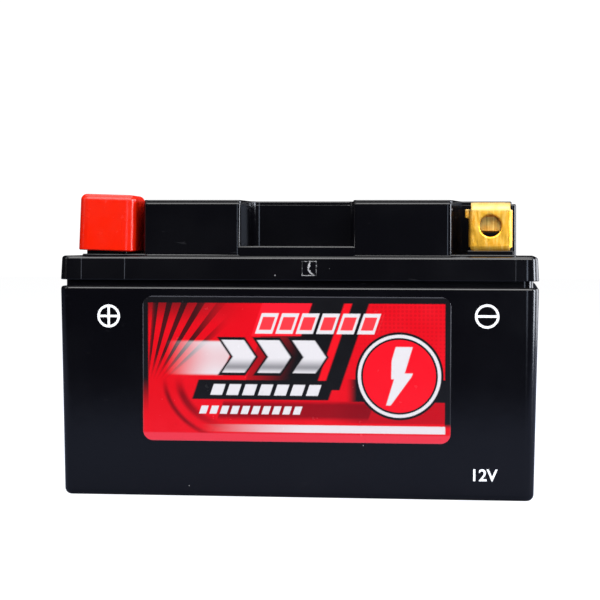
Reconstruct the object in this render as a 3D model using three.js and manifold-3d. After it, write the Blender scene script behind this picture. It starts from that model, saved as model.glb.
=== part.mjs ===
// A sealed 12 V lead-acid motorcycle battery with six glass-mat cells.
// Millimetres, +X right along the front, +Y to the back, +Z up. The origin is the centre
// of the base. Terminals are in the two front corners of the lid: positive left, negative right.
import * as THREE from 'three';
import { mergeVertices } from 'three/addons/utils/BufferGeometryUtils.js';
import Module from 'manifold-3d';

const wasm = await Module();
wasm.setup();

// ---------------------------------------------------------------- driving dimensions

const LENGTH = 150;             // outside length, along X
const WIDTH = 87;               // outside width, along Y
const BLOCK_TOP = 93;           // top of the lid's raised block
const CAP_TOP = 94.75;          // top of the red terminal cap before it leans
const RIM = 66;                 // upper edge of the container
const GROOVE_TOP = 68;          // upper edge of the shadow groove under the lid
const SHOULDER = 75.5;          // ledge of the lid round the raised block

const WALL = 2.5;               // container and lid wall
const DRAFT = 1.2;              // how far each container wall leans in at the base
const GROOVE_DEPTH = 1.7;
const CORNER = 4;               // radius of the upright corners

const CELLS = 6;
const PARTITION = 1.6;          // wall between two cells
const CELL_PITCH = (LENGTH - 2 * WALL + PARTITION) / CELLS;

const BLOCK_X = 68;             // half length of the raised block
const BLOCK_Y = 42;             // half width of the raised block
const BLOCK_STEP = 0.8;         // height of the raised panel on top of the block
const PANEL_INSET = 1.4;        // how far the panel's ends stand in from the block's ends
const RECESS_X = 48.2;          // inner edge of each terminal recess
const RECESS_BACK = -20;        // back wall of each terminal recess
const RECESS_FLOOR = 76.1;
const RECESS_LEAN = 2.6;        // how far the recess's inner wall slants over its depth
const NOTCH_X = 17.5;           // half width of the finger notch at its mouth
const NOTCH_BACK = -20;
const NOTCH_LEAN = 1.2;         // how far each side of the notch slants in towards the back
const NOTCH_FLOOR = 78.6;
const ROOF_UNDER = 88.5;        // underside of the block's roof, inside the lid
const NECK_BOTTOM = 73;         // underside of the shoulder, inside the lid

const TROUGH_FLOOR = 83;        // floor of the trough that holds the valves
const TROUGH_X = 60.5;          // half length of that trough
const TROUGH_Y = [2, 22];
const TROUGH_WALL = 2;
const COVER_X = 63.5;           // half length of the top cover
const COVER_Y = [-2.5, 26.5];
const COVER_SEAT = 91.2;        // ledge that the top cover is glued to
const COVER_THICK = 1.5;

const VALVE_Y = 12;
const NECK_TOP = 88.7;
const NECK_RADIUS = 4.6;
const NECK_BORE = 3.1;
const VALVE_RADIUS = 6.2;
const VALVE_TOP = 90;
const VALVE_BOTTOM = 84.2;

const TERMINAL_X = 60;          // centre of each terminal box
const TERMINAL_Y = [-41, -27.5];
const TERMINAL_WIDTH = 13.4;
const TERMINAL_TOP = 92.3;
const STRIP = 1.5;              // thickness of the folded brass strip
const BOLT_HOLE = 3.3;          // radius of the bolt holes in the strip
const EAR = { length: 1.3, z: [87.4, 90.2], y: [-34, -28] };  // bent ear on the inner flange
const BOLT_Z = 85;              // height of the front bolt hole
const NUT_SIZE = 10;
const NUT_THICK = 5;
const NUT_BORE = 2.5;
const NUT_Y = [-37.5, -27.5];
const NUT_CENTRE_Y = (NUT_Y[0] + NUT_Y[1]) / 2;
const NUT_SEAT_TOP = 83.2;

const CAP_X = [-69.4, -50.9];
const CAP_Y = [-43.2, -20.8];
const CAP_BOTTOM = 77.1;
const CAP_THICK = 1.5;
const CAP_TILT = 1.7 * Math.PI / 180;  // the loose cap leans a little to the right

const STEM_Y = (TERMINAL_Y[0] + TERMINAL_Y[1]) / 2;
const STEM_RADIUS = 2.2;        // riveted stem under each terminal box
const STEM_BOTTOM = 66;
const SEAL_RADIUS = 3.7;
const POST_RADIUS = 3.6;
const POST_TOP = 71;

const PLATE_PITCH = 2.3;
const PLATE_Z = [5, 53];
const PLATE_HALF_Y = 37.6;
const STRAP_Z = [56, 60];
const STRAP_Y = [29, 38];
const LINK_Z = 61.5;            // height of the weld windows in the partitions
const LINK_RADIUS = 3.4;

const LABEL_X = 48.2;
const LABEL_Z = [17.6, 63];
const LABEL_POCKET = 0.3;       // depth of the label's pocket in the front wall
const LABEL_THICK = 0.25;

const GAP = 0.3;                // clearance between neighbouring pieces
const REACH = 200;              // longer than the whole battery, for cuts that run right through
const ROUND_STEPS = 3;          // facets in a rounded edge

// ---------------------------------------------------------------- materials

function material(color, roughness, metalness = 0) {
  return new THREE.MeshStandardMaterial({ color, roughness, metalness });
}

const blackPlastic = material(0x15171b, 0.35);
const redPlastic = material(0xe02a12, 0.4);
const brass = material(0xc9a24a, 0.3, 1);
const lead = material(0x6f7276, 0.6, 1);
const positivePlate = material(0x4a2c20, 0.9);
const negativePlate = material(0x7c7f82, 0.9);
const glassMat = material(0xf1f1ec, 0.95);
const blackRubber = material(0x1b1b1b, 0.8);
const labelFilm = material(0xb01818, 0.35);

// ---------------------------------------------------------------- solids

// A closed geometry as a solid that can be joined and cut.
function solid(geometry) {
  geometry.deleteAttribute('normal');
  geometry.deleteAttribute('uv');
  const merged = mergeVertices(geometry, 1e-4);
  return new wasm.Manifold(new wasm.Mesh({
    numProp: 3,
    vertProperties: new Float32Array(merged.attributes.position.array),
    triVerts: new Uint32Array(merged.index.array),
  }));
}

function geometryOf(body) {
  const mesh = body.getMesh();
  const geometry = new THREE.BufferGeometry();
  geometry.setAttribute('position', new THREE.BufferAttribute(mesh.vertProperties, 3));
  geometry.setIndex(new THREE.BufferAttribute(mesh.triVerts, 1));
  geometry.computeVertexNormals();
  return geometry;
}

function slab([x0, x1], [y0, y1], [z0, z1]) {
  const geometry = new THREE.BoxGeometry(x1 - x0, y1 - y0, z1 - z0);
  geometry.translate((x0 + x1) / 2, (y0 + y1) / 2, (z0 + z1) / 2);
  return solid(geometry);
}

// A round bar along Z.
function rod(x, y, [z0, z1], radius, sides = 24) {
  const geometry = new THREE.CylinderGeometry(radius, radius, z1 - z0, sides);
  geometry.rotateX(Math.PI / 2);
  geometry.translate(x, y, (z0 + z1) / 2);
  return solid(geometry);
}

// A ring along Z.
function collar(x, y, range, outer, inner) {
  const [z0, z1] = range;
  return rod(x, y, range, outer).subtract(rod(x, y, [z0 - 1, z1 + 1], inner));
}

// An upright prism whose outline is a plan-view shape.
function prism(shape, [z0, z1]) {
  const geometry = new THREE.ExtrudeGeometry(shape, { depth: z1 - z0, bevelEnabled: false });
  geometry.translate(0, 0, z0);
  return solid(geometry);
}

// The corner points of a rectangle with rounded corners, pulled in by inset.
function roundedOutline([x0, x1], [y0, y1], radius, inset) {
  const centres = [
    [x1 - radius, y1 - radius],
    [x0 + radius, y1 - radius],
    [x0 + radius, y0 + radius],
    [x1 - radius, y0 + radius],
  ];
  return centres.flatMap(([x, y], quarter) => {
    const arc = [];
    for (let step = 0; step <= ROUND_STEPS; step += 1) {
      const angle = (quarter + step / ROUND_STEPS) * Math.PI / 2;
      const reach = radius - inset;
      arc.push([x + reach * Math.cos(angle), y + reach * Math.sin(angle)]);
    }
    return arc;
  });
}

// A closed skin through a stack of outlines with equal numbers of points, lowest first.
function loft(rings) {
  const count = rings[0].length;
  const triangles = [];
  rings.slice(1).forEach((ring, level) => {
    for (let i = 0; i < count; i += 1) {
      const next = (i + 1) % count;
      const low = level * count;
      const high = low + count;
      triangles.push(low + i, low + next, high + next, low + i, high + next, high + i);
    }
  });
  const top = (rings.length - 1) * count;
  for (let i = 1; i < count - 1; i += 1) {
    triangles.push(0, i + 1, i, top, top + i, top + i + 1);
  }
  const geometry = new THREE.BufferGeometry();
  geometry.setAttribute('position', new THREE.Float32BufferAttribute(rings.flat(2), 3));
  geometry.setIndex(triangles);
  return solid(geometry);
}

// A block with rounded upright corners, rounded upper and lower edges, and walls that lean in.
// Its points can be moved by a warp.
function roundedBlock(x, y, [z0, z1], {
  corner, top = 0, bottom = 0, leanTop = 0, leanBottom = 0, warp = (point) => point,
}) {
  const levels = [];
  for (let step = 0; step <= (bottom > 0 ? ROUND_STEPS : 0); step += 1) {
    const angle = bottom > 0 ? step / ROUND_STEPS * Math.PI / 2 : Math.PI / 2;
    levels.push([z0 + bottom * (1 - Math.cos(angle)), bottom * (1 - Math.sin(angle))]);
  }
  for (let step = 0; step <= (top > 0 ? ROUND_STEPS : 0); step += 1) {
    const angle = top > 0 ? step / ROUND_STEPS * Math.PI / 2 : 0;
    levels.push([z1 - top * (1 - Math.sin(angle)), top * (1 - Math.cos(angle))]);
  }
  return loft(levels.map(([z, edge]) => {
    const share = (z - z0) / (z1 - z0);
    const inset = edge + leanBottom * (1 - share) + leanTop * share;
    return roundedOutline(x, y, corner, inset).map(([px, py]) => warp([px, py, z]));
  }));
}

// ---------------------------------------------------------------- assembly helpers

const battery = new THREE.Group();

function addPiece(name, body, finish, parent = battery) {
  const mesh = new THREE.Mesh(geometryOf(body), finish);
  mesh.name = name;
  parent.add(mesh);
  return mesh;
}

const span = (half) => [-half, half];
const cellX = (cell) => (cell - (CELLS - 1) / 2) * CELL_PITCH;
const partitionX = (gap) => cellX(gap) + CELL_PITCH / 2;
const frontY = (z) => -WIDTH / 2 + DRAFT * (1 - z / RIM);
const sides = [['positive', -1], ['negative', 1]];

// ---------------------------------------------------------------- container

// A panel that lies on the leaning front wall, from depth behind its surface to proud of it.
function frontPanel(halfX, [z0, z1], radius, [behind, proud]) {
  const outline = roundedOutline(span(halfX), [z0, z1], radius, 0);
  const layer = (offset) => outline.map(([x, z]) => [x, frontY(z) + offset, z]);
  return loft([layer(behind), layer(proud)]);
}

function container() {
  const shell = roundedBlock(span(LENGTH / 2), span(WIDTH / 2), [0, RIM], {
    corner: CORNER, bottom: 2, leanBottom: DRAFT,
  });
  let cells = roundedBlock(span(LENGTH / 2 - WALL), span(WIDTH / 2 - WALL), [WALL, RIM + 1], {
    corner: CORNER - 1, bottom: 1, leanBottom: DRAFT,
  });
  let windows = null;
  for (let gap = 0; gap < CELLS - 1; gap += 1) {
    const x = partitionX(gap);
    cells = cells.subtract(slab([x - PARTITION / 2, x + PARTITION / 2], span(REACH), span(REACH)));
    const window = link(gap, LINK_RADIUS + GAP, PARTITION + 2);
    windows = windows ? windows.add(window) : window;
  }
  const pocket = frontPanel(LABEL_X + GAP, [LABEL_Z[0] - GAP, LABEL_Z[1] + GAP], 3.5, [LABEL_POCKET, -1]);
  return shell.subtract(cells).subtract(windows).subtract(pocket);
}

// ---------------------------------------------------------------- lid

// The plan of a terminal recess: its inner wall slants and meets the back wall in a fillet.
function recessPlan(side, grow) {
  const fillet = 3;
  const inner = RECESS_X - grow;
  const back = RECESS_BACK + grow;
  const shape = new THREE.Shape();
  shape.moveTo(side * REACH, -REACH);
  shape.lineTo(side * inner, -REACH);
  shape.lineTo(side * inner, -BLOCK_Y);
  shape.lineTo(side * (inner + RECESS_LEAN), back - fillet);
  shape.quadraticCurveTo(side * (inner + RECESS_LEAN), back, side * (inner + RECESS_LEAN + fillet), back);
  shape.lineTo(side * REACH, back);
  shape.closePath();
  return shape;
}

function notch(grow, floor) {
  const mouth = -BLOCK_Y;
  const narrow = NOTCH_LEAN / (NOTCH_BACK - mouth) / NOTCH_X;
  return roundedBlock(span(NOTCH_X + grow), [mouth - 10, NOTCH_BACK + grow], [floor, BLOCK_TOP + 10], {
    corner: 2.5, bottom: 1.5, warp: ([x, y, z]) => [x * (1 - narrow * (y - mouth)), y, z],
  });
}

function lid() {
  const neck = roundedBlock(span(LENGTH / 2 - GROOVE_DEPTH), span(WIDTH / 2 - GROOVE_DEPTH),
    [RIM, GROOVE_TOP + 1], { corner: CORNER - 1 });
  const shoulder = roundedBlock(span(LENGTH / 2), span(WIDTH / 2), [GROOVE_TOP, SHOULDER], {
    corner: CORNER, top: 1.2, leanTop: 0.4,
  });
  const block = roundedBlock(span(BLOCK_X), span(BLOCK_Y), [SHOULDER - 1, BLOCK_TOP - BLOCK_STEP], {
    corner: 3, top: 1, leanTop: 0.4,
  });
  const panel = roundedBlock(span(BLOCK_X - PANEL_INSET), span(BLOCK_Y - 0.5),
    [BLOCK_TOP - BLOCK_STEP - 1, BLOCK_TOP], { corner: 2.5, top: 0.5 });
  const inner = LENGTH / 2 - 2 * WALL;
  let cavity = slab(span(inner), span(WIDTH / 2 - 2 * WALL + 1), [0, NECK_BOTTOM])
    .add(slab(span(BLOCK_X - WALL), span(BLOCK_Y - WALL), [NECK_BOTTOM - 1, ROOF_UNDER]))
    .subtract(notch(WALL, NOTCH_FLOOR - WALL))
    .subtract(slab(span(TROUGH_X + TROUGH_WALL), [TROUGH_Y[0] - TROUGH_WALL, TROUGH_Y[1] + TROUGH_WALL],
      [TROUGH_FLOOR - TROUGH_WALL, REACH]));
  sides.forEach(([, side]) => {
    cavity = cavity.subtract(prism(recessPlan(side, WALL), [RECESS_FLOOR - WALL, REACH]));
  });
  for (let gap = 0; gap < CELLS - 1; gap += 1) {
    const x = partitionX(gap);
    cavity = cavity.subtract(slab([x - PARTITION / 2, x + PARTITION / 2], span(REACH), span(REACH)));
  }

  const trough = slab(span(TROUGH_X), TROUGH_Y, [TROUGH_FLOOR, REACH]);
  const coverSeat = roundedBlock(span(COVER_X + GAP), [COVER_Y[0] - GAP, COVER_Y[1] + GAP],
    [COVER_SEAT, REACH], { corner: 3 });

  let body = neck.add(shoulder).add(block).add(panel).subtract(cavity);
  body = body.subtract(notch(0, NOTCH_FLOOR)).subtract(trough).subtract(coverSeat);
  sides.forEach(([, side]) => {
    body = body.subtract(prism(recessPlan(side, 0), [RECESS_FLOOR, REACH]));
    body = body.subtract(rod(side * TERMINAL_X, STEM_Y, [RIM, RECESS_FLOOR + 1], SEAL_RADIUS + GAP));
  });
  for (let cell = 0; cell < CELLS; cell += 1) {
    const x = valveX(cell);
    body = body.add(rod(x, VALVE_Y, [TROUGH_FLOOR - 0.5, NECK_TOP], NECK_RADIUS));
    body = body.subtract(rod(x, VALVE_Y, [TROUGH_FLOOR - TROUGH_WALL - 1, REACH], NECK_BORE));
  }
  return body;
}

// ---------------------------------------------------------------- top cover and valves

// The necks of the end cells sit a little nearer the middle than the cells themselves.
const valveX = (cell) => cellX(cell) * 0.86;

function topCover() {
  return roundedBlock(span(COVER_X), COVER_Y, [COVER_SEAT, COVER_SEAT + COVER_THICK], {
    corner: 2.7, top: 0.3,
  });
}

// A rubber cup that sits over a filler neck, with its open end down.
function ventValve() {
  const cup = rod(0, 0, [VALVE_BOTTOM, VALVE_TOP], VALVE_RADIUS);
  return cup.subtract(rod(0, 0, [VALVE_BOTTOM - 1, NECK_TOP + 0.05], NECK_RADIUS + GAP));
}

// ---------------------------------------------------------------- terminals

// A brass strip box folded from a cross-shaped blank: a front face with four flanges bent back.
// The back is open, the four corners are notched, and a riveted stem goes down through the lid.
function terminal(side) {
  const x = [TERMINAL_X * side - TERMINAL_WIDTH / 2, TERMINAL_X * side + TERMINAL_WIDTH / 2];
  const z = [RECESS_FLOOR, TERMINAL_TOP];
  const [front, back] = TERMINAL_Y;
  const hollow = slab([x[0] + STRIP, x[1] - STRIP], [front + STRIP, back + 1],
    [z[0] + STRIP, z[1] - STRIP]);
  const bend = foldedFront(x, z, front, back);
  let body = bend.subtract(hollow);
  const notchSize = STRIP + 0.5;
  [x[0], x[1] - notchSize].forEach((left) => {
    [z[0], z[1] - notchSize].forEach((low) => {
      body = body.subtract(slab([left - 0.01, left + notchSize + 0.01], [front - 1, back + 1],
        [low - 0.01, low + notchSize + 0.01]));
    });
  });
  // The positive box has no ear, so that its cap fits over it.
  if (side > 0) {
    body = body.add(slab([x[0] - EAR.length, x[0] + STRIP / 2], EAR.y, EAR.z));
  }
  const frontHole = new THREE.CylinderGeometry(BOLT_HOLE, BOLT_HOLE, 4 * STRIP, 24);
  frontHole.translate(TERMINAL_X * side, front, BOLT_Z);
  return body
    .subtract(solid(frontHole))
    .subtract(rod(TERMINAL_X * side, NUT_CENTRE_Y, [NUT_SEAT_TOP, REACH], BOLT_HOLE))
    .add(rod(TERMINAL_X * side, STEM_Y, [STEM_BOTTOM, RECESS_FLOOR + STRIP], STEM_RADIUS, 16));
}

// The outside of the terminal box, with its front edges rounded by the bends.
function foldedFront([x0, x1], [z0, z1], front, back) {
  const bendRadius = 1.6;
  const rings = [];
  for (let step = ROUND_STEPS; step >= 0; step -= 1) {
    const angle = step / ROUND_STEPS * Math.PI / 2;
    const y = front + bendRadius * (1 - Math.cos(angle));
    const inset = bendRadius * (1 - Math.sin(angle));
    rings.push([y, inset]);
  }
  const outline = (y, inset) => [
    [x0 + inset, y, z0 + inset],
    [x1 - inset, y, z0 + inset],
    [x1 - inset, y, z1 - inset],
    [x0 + inset, y, z1 - inset],
  ];
  return loft([outline(back, 0), ...rings.map(([y, inset]) => outline(y, inset))]);
}

function terminalNut(side) {
  const x = TERMINAL_X * side;
  return slab([x - NUT_SIZE / 2, x + NUT_SIZE / 2], NUT_Y, [NUT_SEAT_TOP, NUT_SEAT_TOP + NUT_THICK])
    .subtract(rod(x, NUT_CENTRE_Y, [NUT_SEAT_TOP - 1, NUT_SEAT_TOP + NUT_THICK + 1], NUT_BORE));
}

// The plastic block that holds the nut at the height of the bolt hole.
function nutSeat(side) {
  const x = TERMINAL_X * side;
  return slab([x - NUT_SIZE / 2, x + NUT_SIZE / 2], NUT_Y, [RECESS_FLOOR + STRIP, NUT_SEAT_TOP]);
}

function post(side) {
  const x = TERMINAL_X * side;
  return rod(x, STEM_Y, [STRAP_Z[1], POST_TOP], POST_RADIUS)
    .subtract(rod(x, STEM_Y, [STEM_BOTTOM - 1, POST_TOP + 1], STEM_RADIUS + GAP));
}

function postSeal(side) {
  return collar(TERMINAL_X * side, STEM_Y, [POST_TOP + GAP, RECESS_FLOOR], SEAL_RADIUS, STEM_RADIUS + GAP);
}

// A push-on cap about its own centre: closed at the top and all round, open underneath.
function terminalCap() {
  const x = span((CAP_X[1] - CAP_X[0]) / 2);
  const y = span((CAP_Y[1] - CAP_Y[0]) / 2);
  const z = span((CAP_TOP - CAP_BOTTOM) / 2);
  const outside = roundedBlock(x, y, z, { corner: 2, top: 1.4, leanTop: 0.2 });
  const inside = roundedBlock([x[0] + CAP_THICK, x[1] - CAP_THICK], [y[0] + CAP_THICK, y[1] - CAP_THICK],
    [z[0] - 1, z[1] - CAP_THICK], { corner: 0.6 });
  return outside.subtract(inside);
}

// ---------------------------------------------------------------- inside the cells

// A set of plates across the cell, joined by their lugs to one strap with a tab at its end.
function plateGroup(count, thick, strapSide, tabSide) {
  const first = -(count - 1) * PLATE_PITCH;
  const strapY = strapSide > 0 ? STRAP_Y : [-STRAP_Y[1], -STRAP_Y[0]];
  const reach = 9.6;
  let body = slab(span(reach), strapY, STRAP_Z);
  for (let i = 0; i < count; i += 1) {
    const x = first + 2 * i * PLATE_PITCH;
    const plate = slab([x - thick / 2, x + thick / 2], span(PLATE_HALF_Y), PLATE_Z);
    const lug = slab([x - thick / 2, x + thick / 2], [strapY[0] + 1, strapY[1] - 1],
      [PLATE_Z[1] - 1, STRAP_Z[0] + 1]);
    body = body.add(plate).add(lug);
  }
  if (tabSide !== 0) {
    const tab = [tabSide * reach, tabSide * (reach - 2)].sort((a, b) => a - b);
    body = body.add(slab(tab, strapY, [STRAP_Z[0], LINK_Z + LINK_RADIUS + 0.3]));
  }
  return body;
}

// A glass mat folded to and fro between the nine plates.
function separator() {
  const thick = 0.5;
  const gaps = 8;
  const z = [PLATE_Z[0] - 1.5, PLATE_Z[1] + 1];
  const fold = PLATE_HALF_Y + 0.4;
  let body = null;
  for (let i = 0; i < gaps; i += 1) {
    const x = (i - (gaps - 1) / 2) * PLATE_PITCH;
    const run = slab([x - thick / 2, x + thick / 2], span(fold), z);
    body = body ? body.add(run) : run;
    if (i < gaps - 1) {
      const end = i % 2 === 0 ? [fold - 0.1, fold + thick] : [-fold - thick, -fold + 0.1];
      body = body.add(slab([x - thick / 2, x + PLATE_PITCH + thick / 2], end, z));
    }
  }
  return body;
}

// A lead link through the partition between cell number gap and the next one.
function link(gap, radius, length) {
  const side = gap % 2 === 0 ? 1 : -1;
  const geometry = new THREE.CylinderGeometry(radius, radius, length, 16);
  geometry.rotateZ(Math.PI / 2);
  geometry.translate(partitionX(gap), side * (STRAP_Y[0] + STRAP_Y[1]) / 2, LINK_Z);
  return solid(geometry);
}

function addCell(cell) {
  const group = new THREE.Group();
  group.position.x = cellX(cell);
  battery.add(group);
  // Neighbouring cells are turned about, so each link joins a positive strap to a negative one.
  const turn = cell % 2 === 0 ? 1 : -1;
  const positiveTab = cell === 0 ? 0 : -1;
  const negativeTab = cell === CELLS - 1 ? 0 : 1;
  addPiece(`cell_${cell + 1}_positive_plates`, plateGroup(4, 1.3, -turn, positiveTab),
    positivePlate, group);
  addPiece(`cell_${cell + 1}_negative_plates`, plateGroup(5, 1, turn, negativeTab),
    negativePlate, group);
  addPiece(`cell_${cell + 1}_separator`, separator(), glassMat, group);
}

// ---------------------------------------------------------------- the battery

addPiece('container', container(), blackPlastic);
addPiece('lid', lid(), blackPlastic);
addPiece('top_cover', topCover(), blackPlastic);
addPiece('front_label', frontPanel(LABEL_X, LABEL_Z, 3.2, [LABEL_POCKET - 0.02, LABEL_POCKET - LABEL_THICK]),
  labelFilm);
sides.forEach(([pole, side]) => {
  addPiece(`${pole}_terminal`, terminal(side), brass);
  addPiece(`${pole}_terminal_nut`, terminalNut(side), brass);
  addPiece(`${pole}_nut_seat`, nutSeat(side), blackPlastic);
  addPiece(`${pole}_post`, post(side), lead);
  addPiece(`${pole}_post_seal`, postSeal(side), blackRubber);
});
const cap = addPiece('positive_terminal_cap', terminalCap(), redPlastic);
cap.position.set((CAP_X[0] + CAP_X[1]) / 2, (CAP_Y[0] + CAP_Y[1]) / 2, (CAP_BOTTOM + CAP_TOP) / 2);
cap.rotation.y = CAP_TILT;
for (let cell = 0; cell < CELLS; cell += 1) {
  addPiece(`vent_valve_${cell + 1}`, ventValve(), blackRubber).position.set(valveX(cell), VALVE_Y, 0);
  addCell(cell);
}
for (let gap = 0; gap < CELLS - 1; gap += 1) {
  addPiece(`cell_link_${gap + 1}`, link(gap, LINK_RADIUS, 2 * (CELL_PITCH / 2 - 9.6) - 0.1), lead);
}

export default battery;
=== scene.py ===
"""A sealed motorcycle battery: the finished surfaces, materials and studio, round the CAD frame."""

import math

import bmesh
import bpy
from mathutils import Matrix, Vector

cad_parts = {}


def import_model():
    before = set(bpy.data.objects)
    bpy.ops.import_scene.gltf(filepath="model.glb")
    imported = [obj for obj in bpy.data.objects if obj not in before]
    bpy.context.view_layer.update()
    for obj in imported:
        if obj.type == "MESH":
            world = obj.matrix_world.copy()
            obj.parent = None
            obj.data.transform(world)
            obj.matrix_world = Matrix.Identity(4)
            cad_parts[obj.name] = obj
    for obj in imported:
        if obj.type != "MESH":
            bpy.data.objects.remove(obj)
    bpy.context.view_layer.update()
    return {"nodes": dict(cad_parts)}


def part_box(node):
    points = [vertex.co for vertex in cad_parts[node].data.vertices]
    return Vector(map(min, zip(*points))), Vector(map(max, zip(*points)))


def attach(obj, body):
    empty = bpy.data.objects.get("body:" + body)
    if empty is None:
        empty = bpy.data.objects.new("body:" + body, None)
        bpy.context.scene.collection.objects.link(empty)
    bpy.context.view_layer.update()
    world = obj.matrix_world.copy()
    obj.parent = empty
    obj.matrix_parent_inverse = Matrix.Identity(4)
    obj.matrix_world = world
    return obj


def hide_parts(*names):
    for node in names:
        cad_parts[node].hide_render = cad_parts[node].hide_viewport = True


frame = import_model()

MM = 0.001
ROOT_BODY = "battery"
CAP_BODY = "terminal_cap"
SIDES = {"positive": -1, "negative": 1}
CELLS = range(1, 7)


# ------------- sizes, in millimetres

def node_box(node):
    low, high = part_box(node)
    return low / MM, high / MM


container_high = node_box("container")[1]
lid_high = node_box("lid")[1]
cover_low, cover_high = node_box("top_cover")
label_low, label_high = node_box("front_label")
cap_low, cap_high = node_box("positive_terminal_cap")
terminal_low, terminal_high = node_box("negative_terminal")
nut_low, nut_high = node_box("negative_terminal_nut")
seat_low, seat_high = node_box("negative_nut_seat")
NUT_Y = (nut_low.y + nut_high.y) / 2

HALF_X = container_high.x
HALF_Y = container_high.y
RIM = container_high.z              # upper edge of the container
DRAFT = 1.2                         # how far each container wall leans in at the base
WALL = 2.5
CORNER = 4.0                        # radius of the upright corners

BLOCK_TOP = lid_high.z
PANEL_STEP = 0.8                    # the panel on the block stands this much above it
GROOVE_TOP = RIM + 2.0
GROOVE_DEPTH = 1.7
SHOULDER = 75.5                     # ledge of the lid round the raised block
BLOCK_X = 68.0
BLOCK_Y = 42.0
RECESS_X = 48.2                     # inner edge of each terminal recess
RECESS_BACK = -20.0
RECESS_FLOOR = 76.1
RECESS_LEAN = 2.6
TOE_FRONT, TOE_BACK = -41.15, -40.3  # low black rib in front of each terminal's foot
TOE_TOP = 77.4
TOE_HALF = {"positive": 6.4, "negative": 7.1}  # shorter where it has to clear the inside of the cap
NOTCH_X = 17.5                      # half width of the finger notch at its mouth
NOTCH_LEAN = 1.2
NOTCH_FLOOR = 78.6
TROUGH_FLOOR = 83.0
NECK_TOP = 88.7

TERMINAL_X = 60.0
STRIP = 1.5                         # thickness of the terminals' folded strip
BOLT_HOLE = 3.3
BOLT_Z = 85.0
CAP_TILT = math.radians(1.7)        # how far the cap leans to the left, and how far it is turned
CAP_TURN = math.radians(1.4)


# ------------- outlines

def filleted(corners, steps=6):
    """A closed outline through (x, y, radius) corners, with an arc of that radius at each corner."""
    points = []
    count = len(corners)
    for i, (x, y, radius) in enumerate(corners):
        here = Vector((x, y))
        before = Vector(corners[i - 1][:2]) - here
        after = Vector(corners[(i + 1) % count][:2]) - here
        if radius == 0:
            points.append((x, y))
            continue
        before.normalize()
        after.normalize()
        half = before.angle(after) / 2
        centre = here + (before + after).normalized() * (radius / math.sin(half))
        start = here + before * (radius / math.tan(half)) - centre
        end = here + after * (radius / math.tan(half)) - centre
        turn = start.angle_signed(end)
        for step in range(steps + 1):
            spoke = Matrix.Rotation(-turn * step / steps, 2) @ start
            points.append(tuple(centre + spoke))
    return points


def rectangle(x0, x1, y0, y1, radius, steps=6):
    return filleted([(x1, y1, radius), (x0, y1, radius), (x0, y0, radius), (x1, y0, radius)], steps)


def centred(half_x, half_y, radius, steps=6):
    return rectangle(-half_x, half_x, -half_y, half_y, radius, steps)


def circle(x, y, radius, steps=40):
    return [
        (x + radius * math.cos(math.tau * i / steps), y + radius * math.sin(math.tau * i / steps))
        for i in range(steps)
    ]


def inset_outline(points, inset):
    """The outline moved in by inset, or out if it is negative."""
    if inset == 0:
        return list(points)
    moved = []
    count = len(points)
    for i in range(count):
        here = Vector(points[i])
        along_in = (here - Vector(points[i - 1])).normalized()
        along_out = (Vector(points[(i + 1) % count]) - here).normalized()
        normal = Vector((-along_in.y - along_out.y, along_in.x + along_out.x)).normalized()
        lean = normal.dot(Vector((-along_in.y, along_in.x)))
        moved.append(tuple(here + normal * (inset / lean)))
    return moved


def arc_levels(start, end, quarter, steps=5):
    """(z, inset) levels along a quarter round between two (z, inset) ends."""
    (z0, i0), (z1, i1) = start, end
    levels = []
    for step in range(steps + 1):
        angle = step / steps * math.pi / 2
        slow, fast = 1 - math.cos(angle), math.sin(angle)
        z_share, i_share = (slow, fast) if quarter == "leave_flat" else (fast, slow)
        levels.append((z0 + (z1 - z0) * z_share, i0 + (i1 - i0) * i_share))
    return levels


def rounded_top(foot, top, edge, steps, inset=0.0):
    """(z, inset) levels of an upright wall with a quarter round along its upper edge."""
    quarter_round = arc_levels((top - edge, inset), (top, inset + edge), "leave_wall", steps)
    return [(foot, inset), *quarter_round]


def eased(low, high, low_edge, high_edge):
    """(z, inset) levels of an upright wall with a narrow chamfer below and above."""
    return [(low, low_edge), (low + low_edge, 0), (high - high_edge, 0), (high, high_edge)]


# ------------- meshes

def show(thing):
    bpy.context.scene.collection.objects.link(thing)


def link(thing, body):
    """Puts a piece of the battery in the scene, on its body."""
    show(thing)
    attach(thing, body)


def new_mesh(name, bm):
    mesh = bpy.data.meshes.new(name)
    bm.to_mesh(mesh)
    bm.free()
    return mesh


def tower(outline, levels, warp=None):
    """A closed mesh through copies of an outline, one for each (z, inset) level; millimetres in."""
    bm = bmesh.new()
    rings = []
    for z, inset in levels:
        ring = []
        for x, y in inset_outline(outline, inset):
            point = Vector((x, y, z))
            ring.append(bm.verts.new((warp(point) if warp else point) * MM))
        rings.append(ring)
    for low, high in zip(rings, rings[1:]):
        for i in range(len(low)):
            j = (i + 1) % len(low)
            bm.faces.new((low[i], low[j], high[j], high[i]))
    bm.faces.new(list(reversed(rings[0])))
    bm.faces.new(rings[-1])
    bmesh.ops.recalc_face_normals(bm, faces=bm.faces)
    return bm


def hold(name, bm):
    """A scratch object, for modifiers to work on."""
    holder = bpy.data.objects.new(name, new_mesh(name, bm))
    show(holder)
    return holder


def take_back(holder, tools=()):
    """The holder's mesh as its modifiers leave it; the scratch objects go."""
    graph = bpy.context.evaluated_depsgraph_get()
    bm = bmesh.new()
    bm.from_mesh(holder.evaluated_get(graph).to_mesh())
    for old in [holder, *tools]:
        mesh = old.data
        bpy.data.objects.remove(old)
        bpy.data.meshes.remove(mesh)
    return bm


def combine(name, operation, first, others):
    """The first mesh joined with the others, or cut by them, as one solid mesh."""
    holder = hold(name, first)
    tools = [hold(name + "_tool", other) for other in others]
    for tool in tools:
        step = holder.modifiers.new("join", "BOOLEAN")
        step.operation = operation
        step.solver = "EXACT"
        step.object = tool
    return take_back(holder, tools)


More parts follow.
